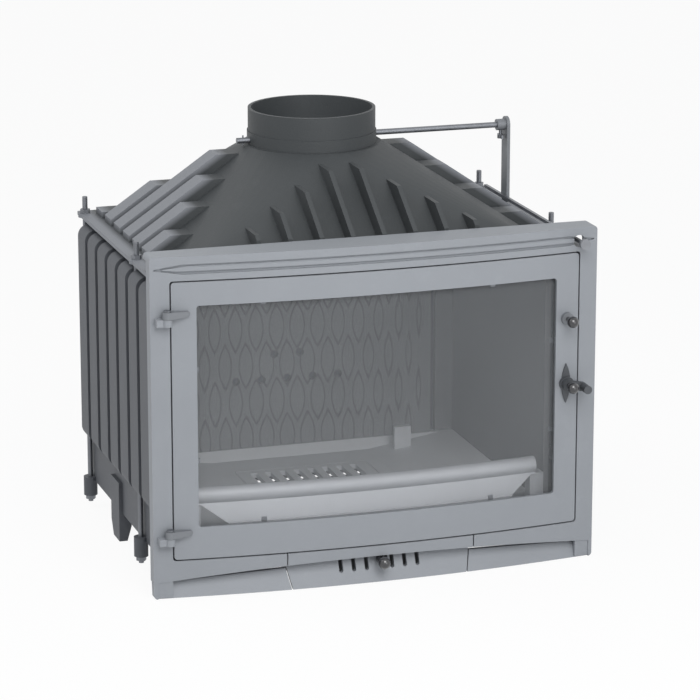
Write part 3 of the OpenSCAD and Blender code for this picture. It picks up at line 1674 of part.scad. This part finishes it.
module retainer_supports() {
    x0 = support_x - support_w;
    color([0.46, 0.47, 0.49]) at_front() both_sides()
        translate([0, hearth_y + support_w, 0]) rotate([90, 0, 0]) linear_extrude(height = support_w) polygon([
            [x0, hearth_at(x0)], [support_x, hearth_at(support_x)],
            [support_x, support_z], [x0, support_z]
        ]);
}

facade_frame();
drawer_front();
ash_pan();
air_slider();
slider_knob();
door_frame();
door_glass();
glass_seal();
door_seal();
glass_clips();
clip_screws();
hinge_arms();
hinge_pins();
latch_plate();
latch_handle();
latch_ball();
latch_catch();
pull_knob();
pull_base();
left_side_plate();
right_side_plate();
rear_plate();
base_plate();
drawer_rails();
feet();
hood();
tie_rods();
tie_nuts();
frame_bolts();
damper_shaft();
damper_plate();
damper_lever();
split_pin();
wing_bolt();
control_rod();
rod_pivot();
control_knob();
fireback();
left_lining();
right_lining();
hearth();
grate();
log_retainer();
retainer_supports();
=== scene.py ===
import math

import bmesh
import bpy
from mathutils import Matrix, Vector


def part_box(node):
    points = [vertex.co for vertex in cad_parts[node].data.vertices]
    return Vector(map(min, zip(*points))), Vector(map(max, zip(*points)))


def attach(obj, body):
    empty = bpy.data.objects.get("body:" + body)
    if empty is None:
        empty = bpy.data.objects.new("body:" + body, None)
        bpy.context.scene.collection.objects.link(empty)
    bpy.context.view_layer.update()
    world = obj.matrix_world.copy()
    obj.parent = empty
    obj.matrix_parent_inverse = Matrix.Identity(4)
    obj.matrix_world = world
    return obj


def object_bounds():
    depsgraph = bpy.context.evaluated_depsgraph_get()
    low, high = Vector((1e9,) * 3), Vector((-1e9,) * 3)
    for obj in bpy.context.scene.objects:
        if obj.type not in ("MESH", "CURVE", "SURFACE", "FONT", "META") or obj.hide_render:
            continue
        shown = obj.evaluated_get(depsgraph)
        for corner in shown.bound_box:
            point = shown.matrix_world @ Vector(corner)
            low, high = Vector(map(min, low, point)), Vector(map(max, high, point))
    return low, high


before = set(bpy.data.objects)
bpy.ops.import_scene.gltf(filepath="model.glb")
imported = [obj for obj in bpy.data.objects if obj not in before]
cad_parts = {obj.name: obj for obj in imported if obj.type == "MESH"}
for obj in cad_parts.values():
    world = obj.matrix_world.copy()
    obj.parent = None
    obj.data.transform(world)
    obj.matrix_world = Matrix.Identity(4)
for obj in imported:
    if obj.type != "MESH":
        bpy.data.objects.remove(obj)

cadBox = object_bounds()


# Shader maths on sockets
class Wire:
    def __init__(self, tree, socket):
        self.tree = tree
        self.socket = socket

    def combine(self, operation, first, second):
        node = self.tree.nodes.new("ShaderNodeMath")
        node.operation = operation
        for socket, value in zip(node.inputs, (first, second)):
            if isinstance(value, Wire):
                self.tree.links.new(value.socket, socket)
            else:
                socket.default_value = value
        return Wire(self.tree, node.outputs[0])

    def __add__(self, other):
        return self.combine("ADD", self, other)

    def __radd__(self, other):
        return self.combine("ADD", other, self)

    def __sub__(self, other):
        return self.combine("SUBTRACT", self, other)

    def __rsub__(self, other):
        return self.combine("SUBTRACT", other, self)

    def __mul__(self, other):
        return self.combine("MULTIPLY", self, other)

    def __rmul__(self, other):
        return self.combine("MULTIPLY", other, self)

    def atMost(self, other):
        return self.combine("MINIMUM", self, other)

    def atLeast(self, other):
        return self.combine("MAXIMUM", self, other)

    # 0 up to the start, then a straight rise to 1
    def rise(self, start, slope):
        return ((self - start) * slope).atLeast(0).atMost(1)


class NodeTree:
    def __init__(self, tree):
        self.tree = tree

    # Settings are set first, then the sockets' values or links
    def node(self, kind, settings, values, output=0):
        node = self.tree.nodes.new(kind)
        for key, value in settings.items():
            setattr(node, key, value)
        for key, value in values.items():
            if isinstance(value, Wire):
                self.tree.links.new(value.socket, node.inputs[key])
            else:
                node.inputs[key].default_value = value
        return Wire(self.tree, node.outputs[output])

    # 1 for what is looked at, also in a mirror or through glass, and 0 for the light that it sends
    def isSeen(self):
        camera, glossy, through = (self.node("ShaderNodeLightPath", {}, {}, ray) for ray in (
            "Is Camera Ray", "Is Glossy Ray", "Is Transmission Ray"))
        return camera.atLeast(glossy).atLeast(through)

    def show(self, surface, outputName):
        self.tree.links.new(surface.socket, self.tree.nodes[outputName].inputs["Surface"])


class Finish(NodeTree):
    def __init__(self, name, constants):
        self.material = bpy.data.materials.new(name)
        self.material.use_nodes = True
        super().__init__(self.material.node_tree)
        self.shader = self.tree.nodes["Principled BSDF"]
        for key, value in constants.items():
            self.shader.inputs[key].default_value = value

    def place(self):
        return self.node("ShaderNodeTexCoord", {}, {}, "Object")

    # 0, 1 and 2 give x, y and z of the place on the object, in metres
    def along(self, axis):
        return self.node("ShaderNodeSeparateXYZ", {}, {0: self.place()}, axis)

    def noise(self, scale, detail, roughness=0.6):
        return self.node("ShaderNodeTexNoise", {}, {
            "Vector": self.place(), "Scale": scale, "Detail": detail, "Roughness": roughness})

    def blend(self, factor, first, second):
        return self.node("ShaderNodeMix", {"data_type": "RGBA"}, {0: factor, 6: first, 7: second}, 2)

    def feed(self, name, wire):
        self.tree.links.new(wire.socket, self.shader.inputs[name])

    def bump(self, height, strength, distance):
        self.feed("Normal", self.node("ShaderNodeBump", {}, {
            "Height": height, "Strength": strength, "Distance": distance}))


def shade(colour, factor):
    return tuple(min(1, c * factor) for c in colour) + (1,)


# Painted highlight: the raised outer strips of the hood's side ribs are made paler, where light falls on
# their upper faces
def ribCrestHighlight(finish, crestHighlight):
    side = finish.along(0)
    side = side.atLeast(0 - side)
    over = (finish.along(2) + side * crestHighlight["slope"]).rise(crestHighlight["plane"], crestHighlight["edge"])
    beside = side.rise(crestHighlight["collar"], crestHighlight["edge"])
    return over * beside * crestHighlight["strength"]


# Darker in the fireback's engraved lines, behind its front face
def engravedLinesDarkened(finish, tint):
    sunk = finish.along(1).rise(tint["face"] + tint["behind"], tint["edge"])
    patches = finish.noise(tint["patches"], detail=3)
    return sunk * (tint["strength"] + patches * tint["spread"]).atMost(1)


# Sand-cast iron: fine grain, broad clouds in the paint and small pits
casting = {"grainShare": 0.45, "pitsToGrain": 0.45, "pitEdge": 3.2, "rubToCloud": 2.7, "rubFrom": 0.56,
           "rubEdge": 5, "rubTone": 1.45, "dull": 0.16, "polish": 0.25, "cloudBump": 0.4, "depth": 0.0006}


def castFinish(name, look):
    finish = Finish(name, {"Metallic": look["metallic"]})
    grain = finish.noise(look["grain"], detail=5, roughness=0.7)
    cloud = finish.noise(look["cloud"], detail=4)
    pits = finish.node("ShaderNodeTexVoronoi", {"feature": "F1"}, {
        "Vector": finish.place(), "Scale": look["grain"] * casting["pitsToGrain"]})
    pit = (1 - pits * casting["pitEdge"]).atLeast(0) * look["pits"]
    tone = (grain * casting["grainShare"] + cloud * (1 - casting["grainShare"])).atMost(1)
    colour = finish.blend(tone, shade(look["colour"], 1 - look["contrast"]),
                          shade(look["colour"], 1 + look["contrast"]))
    # Rubbed patches, where the paint has gone paler and smoother
    patches = finish.noise(look["cloud"] * casting["rubToCloud"], detail=6, roughness=0.75)
    rubbed = patches.rise(casting["rubFrom"], casting["rubEdge"])
    colour = finish.blend(rubbed * look["rub"], colour, shade(look["colour"], casting["rubTone"]))
    # Painted highlight on the hood's rib crests
    if "crestHighlight" in look:
        colour = finish.blend(ribCrestHighlight(finish, look["crestHighlight"]), colour, shade(look["crestHighlight"]["colour"], 1))
    if "tint" in look:
        colour = finish.blend(engravedLinesDarkened(finish, look["tint"]), colour, shade(look["tint"]["colour"], 1))
    finish.feed("Base Color", colour)
    finish.feed("Roughness",
                look["roughness"] + grain * casting["dull"] - rubbed * (look["rub"] * casting["polish"]))
    finish.bump(grain + cloud * casting["cloudBump"] - pit, look["bump"], casting["depth"])
    return finish.material


# Turned or drawn steel with fine lines across its length
steel = {"metallic": 0.9, "wander": 3.5, "stains": 55, "dark": 0.68, "pale": 1.12, "dull": 0.12,
         "stainBump": 0.5, "bump": 0.18, "depth": 0.0002}


def steelFinish(name, look):
    finish = Finish(name, {"Metallic": steel["metallic"]})
    lines = finish.node("ShaderNodeTexWave", {"wave_type": "BANDS", "bands_direction": "Z"}, {
        "Vector": finish.place(), "Scale": look["lines"], "Distortion": steel["wander"], "Detail": 3})
    stain = finish.noise(steel["stains"], detail=5)
    finish.feed("Base Color", finish.blend(stain, shade(look["colour"], steel["dark"]),
                                           shade(look["colour"], steel["pale"])))
    finish.feed("Roughness", look["roughness"] + lines * steel["dull"] + stain * steel["dull"])
    finish.bump(lines + stain * steel["stainBump"], steel["bump"], steel["depth"])
    return finish.material


# Folded sheet under a thin dark paint, scuffed
sheet = {"metallic": 0.25, "peel": 700, "scuffs": 38, "scuffFrom": 0.6, "scuffEdge": 7, "scuffShare": 0.5,
         "scuffTone": 2.1, "scuffDull": 0.2, "peelDull": 0.08, "bump": 0.15, "depth": 0.0002}


def sheetFinish(name, look):
    finish = Finish(name, {"Metallic": sheet["metallic"]})
    peel = finish.noise(sheet["peel"], detail=2)
    scuff = finish.noise(sheet["scuffs"], detail=8, roughness=0.8)
    scuff = scuff.rise(sheet["scuffFrom"], sheet["scuffEdge"])
    finish.feed("Base Color", finish.blend(scuff * sheet["scuffShare"], shade(look["colour"], 1),
                                           shade(look["colour"], sheet["scuffTone"])))
    finish.feed("Roughness", look["roughness"] + scuff * sheet["scuffDull"] + peel * sheet["peelDull"])
    finish.bump(peel + scuff, sheet["bump"], sheet["depth"])
    return finish.material


# Moulded heat-proof knobs, glossy under a little dust
knob = {"specular": 0.6, "coatRoughness": 0.06, "dust": 240, "dustShare": 0.35, "dustTone": 4,
        "dustDull": 0.14, "coat": 0.9, "coatLost": 0.4, "bump": 0.06, "depth": 0.0001}


def knobFinish(name, look):
    finish = Finish(name, {"Coat Roughness": knob["coatRoughness"], "Specular IOR Level": knob["specular"]})
    dust = finish.noise(knob["dust"], detail=6, roughness=0.7)
    finish.feed("Base Color", finish.blend(dust * knob["dustShare"], shade(look["colour"], 1),
                                           shade(look["colour"], knob["dustTone"])))
    finish.feed("Roughness", look["roughness"] + dust * knob["dustDull"])
    finish.feed("Coat Weight", knob["coat"] - dust * knob["coatLost"])
    finish.bump(dust, knob["bump"], knob["depth"])
    return finish.material


# Braided glass-fibre rope: two crossing sets of strands
rope = {"sheen": 0.2, "cross": 0.7, "wander": 1.2, "tint": 26, "braidShare": 0.7, "sootShare": 0.3,
        "dark": 0.45, "pale": 1.1, "roughness": 0.86, "dull": 0.1, "bump": 0.7, "depth": 0.0008}


def ropeFinish(name, look):
    finish = Finish(name, {"Metallic": 0, "Sheen Weight": rope["sheen"]})
    strands = [finish.node("ShaderNodeTexWave", {"wave_type": "BANDS", "bands_direction": "DIAGONAL"}, {
        "Vector": finish.node("ShaderNodeMapping", {}, {
            "Vector": finish.place(), "Rotation": (turn, turn * 0.5, -turn)}),
        "Scale": look["strand"], "Distortion": rope["wander"], "Detail": 2})
        for turn in (rope["cross"], -rope["cross"])]
    braid = strands[0].atLeast(strands[1])
    tint = finish.noise(rope["tint"], detail=5)
    finish.feed("Base Color", finish.blend(braid * rope["braidShare"] + tint * rope["sootShare"],
                                           shade(look["colour"], rope["dark"]),
                                           shade(look["colour"], rope["pale"])))
    finish.feed("Roughness", rope["roughness"] + tint * rope["dull"])
    finish.bump(braid + tint * rope["sootShare"], rope["bump"], rope["depth"])
    return finish.material


# Clear ceramic glass with a faint, uneven haze of smoke
glass = {"specular": 0.5, "clouds": 7, "unevenness": 0.5, "smears": 90, "roughness": 0.05, "dull": 0.05,
         "bump": 0.03, "depth": 0.001}


def glassFinish(name, look):
    finish = Finish(name, {"Base Color": shade(look["colour"], 1), "Specular IOR Level": glass["specular"]})
    haze = finish.noise(glass["clouds"], detail=5)
    smear = finish.noise(glass["smears"], detail=4)
    finish.feed("Alpha", look["haze"] + haze * look["haze"] * glass["unevenness"])
    finish.feed("Roughness", glass["roughness"] + smear * glass["dull"])
    finish.bump(haze, glass["bump"], glass["depth"])
    return finish.material


finishes = {
    "paintedFront": castFinish("paintedFront", {
        "colour": (0.262, 0.276, 0.298), "metallic": 0.1, "roughness": 0.46, "contrast": 0.1,
        "grain": 620, "cloud": 9, "pits": 0.5, "rub": 0.12, "bump": 0.3}),
    "graphiteBody": castFinish("graphiteBody", {
        "colour": (0.088, 0.094, 0.106), "metallic": 0.1, "roughness": 0.52, "contrast": 0.16,
        "grain": 480, "cloud": 7, "pits": 0.8, "rub": 0.16, "bump": 0.42}),
    # Graphite as on the body, darkened to half its tone to paint in the shade on the hood's slopes
    "graphiteHoodPaintedShade": castFinish("graphiteHoodPaintedShade", {
        "colour": (0.044, 0.049, 0.052), "metallic": 0.1, "roughness": 0.5, "contrast": 0.16,
        "grain": 480, "cloud": 8, "pits": 0.8, "rub": 0.2, "bump": 0.42,
        # Painted highlight on the ribs' raised strips, in the tone of their lit tops
        "crestHighlight": {"slope": 0.671, "plane": 0.697, "collar": 0.11, "edge": 90, "strength": 0.9,
                   "colour": (0.23, 0.24, 0.262)}}),
    "bareFireback": castFinish("bareFireback", {
        "colour": (0.185, 0.188, 0.193), "metallic": 0.25, "roughness": 0.5, "contrast": 0.14,
        "grain": 520, "cloud": 8, "pits": 0.6, "rub": 0.2, "bump": 0.34,
        # Darker in the engraved lines, behind the fireback's front face
        "tint": {"face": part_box("fireback")[0].y, "behind": 0.0006, "edge": 900, "strength": 0.4,
                 "patches": 30, "spread": 0.25, "colour": (0.045, 0.045, 0.048)}}),
    "bareLining": castFinish("bareLining", {
        "colour": (0.145, 0.148, 0.154), "metallic": 0.25, "roughness": 0.58, "contrast": 0.14,
        "grain": 520, "cloud": 6, "pits": 0.3, "rub": 0.18, "bump": 0.18}),
    # Bare cast iron, made paler to paint in the light falling on the log retainer's upper faces
    "bareRollPaintedLight": castFinish("bareRollPaintedLight", {
        "colour": (0.44, 0.45, 0.475), "metallic": 0.2, "roughness": 0.46, "contrast": 0.12,
        "grain": 560, "cloud": 9, "pits": 0.7, "rub": 0.22, "bump": 0.34}),
    # Bare cast iron, made far paler to paint in the light falling on the hearth and grate from above
    "bareHearthPaintedLight": castFinish("bareHearthPaintedLight", {
        "colour": (0.62, 0.63, 0.655), "metallic": 0.2, "roughness": 0.5, "contrast": 0.12,
        "grain": 540, "cloud": 7, "pits": 0.8, "rub": 0.18, "bump": 0.38}),
    "castFitting": castFinish("castFitting", {
        "colour": (0.19, 0.2, 0.215), "metallic": 0.3, "roughness": 0.42, "contrast": 0.14,
        "grain": 800, "cloud": 24, "pits": 0.5, "rub": 0.3, "bump": 0.25}),
    "darkFitting": castFinish("darkFitting", {
        "colour": (0.075, 0.08, 0.088), "metallic": 0.3, "roughness": 0.4, "contrast": 0.14,
        "grain": 800, "cloud": 26, "pits": 0.4, "rub": 0.3, "bump": 0.22}),
    "turnedSteel": steelFinish("turnedSteel", {
        "colour": (0.22, 0.23, 0.25), "lines": 420, "roughness": 0.36}),
    "satinKnob": steelFinish("satinKnob", {
        "colour": (0.27, 0.28, 0.3), "lines": 700, "roughness": 0.42}),
    "foldedSheet": sheetFinish("foldedSheet", {"colour": (0.075, 0.078, 0.084), "roughness": 0.42}),
    "blackKnob": knobFinish("blackKnob", {"colour": (0.012, 0.012, 0.014), "roughness": 0.14}),
    "braidedRope": ropeFinish("braidedRope", {"colour": (0.5, 0.48, 0.44), "strand": 90}),
    "ceramicGlass": glassFinish("ceramicGlass", {"colour": (0.42, 0.44, 0.46), "haze": 0.1}),
}

wornBy = {
    "paintedFront": ["facade_frame", "door_frame", "drawer_front"],
    "graphiteBody": ["left_side_plate", "right_side_plate", "rear_plate", "base_plate", "feet"],
    "graphiteHoodPaintedShade": ["hood"],
    "bareFireback": ["fireback"],
    "bareLining": ["left_lining", "right_lining"],
    "bareHearthPaintedLight": ["hearth", "grate"],
    "bareRollPaintedLight": ["log_retainer", "retainer_supports"],
    "castFitting": ["hinge_arms", "latch_catch", "pull_base", "damper_lever", "damper_plate"],
    "darkFitting": ["latch_plate", "latch_handle"],
    "turnedSteel": ["hinge_pins", "tie_rods", "tie_nuts", "frame_bolts", "damper_shaft", "split_pin",
                    "wing_bolt", "control_rod", "rod_pivot", "glass_clips", "clip_screws"],
    "satinKnob": ["control_knob"],
    "foldedSheet": ["ash_pan", "drawer_rails", "air_slider"],
    "blackKnob": ["pull_knob", "latch_ball", "slider_knob"],
    "braidedRope": ["door_seal", "glass_seal"],
    "ceramicGlass": ["door_glass"],
}

dressed = set()
for finishName, nodeNames in wornBy.items():
    for nodeName in nodeNames:
        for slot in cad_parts[nodeName].material_slots:
            slot.material = finishes[finishName]
        dressed.add(nodeName)
print("finishes laid on", len(dressed), "nodes; left bare:", sorted(set(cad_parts) - dressed))


def meshPiece(name, mesh, finishName, body):
    made = bpy.data.meshes.new(name)
    mesh.to_mesh(made)
    mesh.free()
    for face in made.polygons:
        face.use_smooth = True
    made.materials.append(finishes[finishName])
    piece = bpy.data.objects.new(name, made)
    bpy.context.scene.collection.objects.link(piece)
    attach(piece, body)
    return piece


# A closed lathe round an upright axis, from (radius, height) pairs
def lathe(mesh, profile, base, sides=24):
    rings = []
    for radius, height in profile:
        ring = []
        for step in range(sides):
            angle = 2 * math.pi * step / sides
            spot = Vector((radius * math.cos(angle), radius * math.sin(angle), height))
            ring.append(mesh.verts.new(base + spot))
        rings.append(ring)
    for low, high in zip(rings, rings[1:]):
        for step in range(sides):
            after = (step + 1) % sides
            mesh.faces.new((low[step], low[after], high[after], high[step]))
    mesh.faces.new(list(reversed(rings[0])))
    mesh.faces.new(rings[-1])


# Rolled threads on the tie rods, above their nuts; a rod's axis is "rod" inside the corner of their box
threads = {"pitch": 0.00125, "crest": 0.00435, "root": 0.0039, "clear": 0.0004, "rod": 0.004,
           "end": 0.001}
low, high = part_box("tie_rods")
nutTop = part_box("tie_nuts")[1].z
threadMesh = bmesh.new()
turnsUp = int((high.z - nutTop - threads["end"]) / threads["pitch"])
for x in (low.x + threads["rod"], -low.x - threads["rod"]):
    for y in (low.y + threads["rod"], high.y - threads["rod"]):
        steps = []
        for turn in range(turnsUp):
            z = nutTop + threads["clear"] + turn * threads["pitch"]
            steps += [(threads["root"], z), (threads["crest"], z + threads["pitch"] * 0.5)]
        steps.append((threads["root"], nutTop + threads["clear"] + turnsUp * threads["pitch"]))
        lathe(threadMesh, steps, Vector((x, y, 0)))
meshPiece("tieRodThreads", threadMesh, "turnedSteel", "casing")
print("threads cut on the tie rods")

# Backdrop: a pale floor that shows nearly white where it is looked at and keeps a soft shadow
studio = {"floorSize": 14, "floorGap": 0.0005, "floorTone": (0.86, 0.86, 0.86, 1), "floorRoughness": 0.9,
          "whitening": 0.93, "white": (1, 1, 1, 1), "skyTone": (0.92, 0.96, 1, 1), "skyStrength": 0.42}
bpy.ops.mesh.primitive_plane_add(size=studio["floorSize"],
                                 location=(0, 0, cadBox[0].z - studio["floorGap"]))
floor = bpy.context.object
floor.name = "paleFloor"
floorFinish = Finish("paleFloor", {"Base Color": studio["floorTone"], "Roughness": studio["floorRoughness"]})
floorFinish.show(floorFinish.node("ShaderNodeMixShader", {}, {
    0: floorFinish.isSeen() * studio["whitening"],
    1: Wire(floorFinish.tree, floorFinish.shader.outputs[0]),
    2: floorFinish.node("ShaderNodeEmission", {}, {"Color": studio["white"]})}), "Material Output")
floor.data.materials.append(floorFinish.material)

world = bpy.data.worlds.new("studioAir")
bpy.context.scene.world = world
world.use_nodes = True
air = NodeTree(world.node_tree)
air.show(air.node("ShaderNodeMixShader", {}, {
    0: air.isSeen(),
    1: air.node("ShaderNodeBackground", {}, {"Color": studio["skyTone"], "Strength": studio["skyStrength"]}),
    2: air.node("ShaderNodeBackground", {}, {"Color": studio["white"]})}), "World Output")

# Soft boxes: where each stands, what it lights, its width and its power
softBoxes = {
    "keyBox": ((-0.2, -2.3, 2.0), (0, -0.1, 0.3), 1.6, 48),
    "frontBox": ((0.9, -2.8, 0.5), (0, 0, 0.28), 1.5, 11),
    "topBox": ((-1.7, 0.2, 2.2), (0, 0, 0.4), 1.4, 15),
}
for boxName, (spot, aim, width, power) in softBoxes.items():
    lamp = bpy.data.lights.new(boxName, "AREA")
    lamp.size = width
    lamp.energy = power
    stand = bpy.data.objects.new(boxName, lamp)
    stand.location = spot
    stand.rotation_euler = (Vector(aim) - Vector(spot)).to_track_quat("-Z", "Y").to_euler()
    bpy.context.scene.collection.objects.link(stand)

# The photograph's viewpoint: angles in degrees, distances in metres, lens and sensor in millimetres
viewpoint = {"azimuth": 17.6468, "elevation": 14.9312, "distance": 5.0635, "lens": 174.478, "sensor": 36,
             "far": 100, "aim": (-0.04338, -0.232, 0.36174)}
around, above = math.radians(viewpoint["azimuth"]), math.radians(viewpoint["elevation"])
sight = Vector((math.sin(around) * math.cos(above), math.cos(around) * math.cos(above), -math.sin(above)))
cameraData = bpy.data.cameras.new("viewpoint")
cameraData.lens = viewpoint["lens"]
cameraData.sensor_width = viewpoint["sensor"]
cameraData.clip_end = viewpoint["far"]
camera = bpy.data.objects.new("viewpoint", cameraData)
camera.location = Vector(viewpoint["aim"]) - sight * viewpoint["distance"]
camera.rotation_mode = "QUATERNION"
camera.rotation_quaternion = sight.to_track_quat("-Z", "Y")
bpy.context.scene.collection.objects.link(camera)
bpy.context.scene.camera = camera
bpy.context.scene.view_settings.view_transform = "Standard"
print("studio, lamps and camera set")
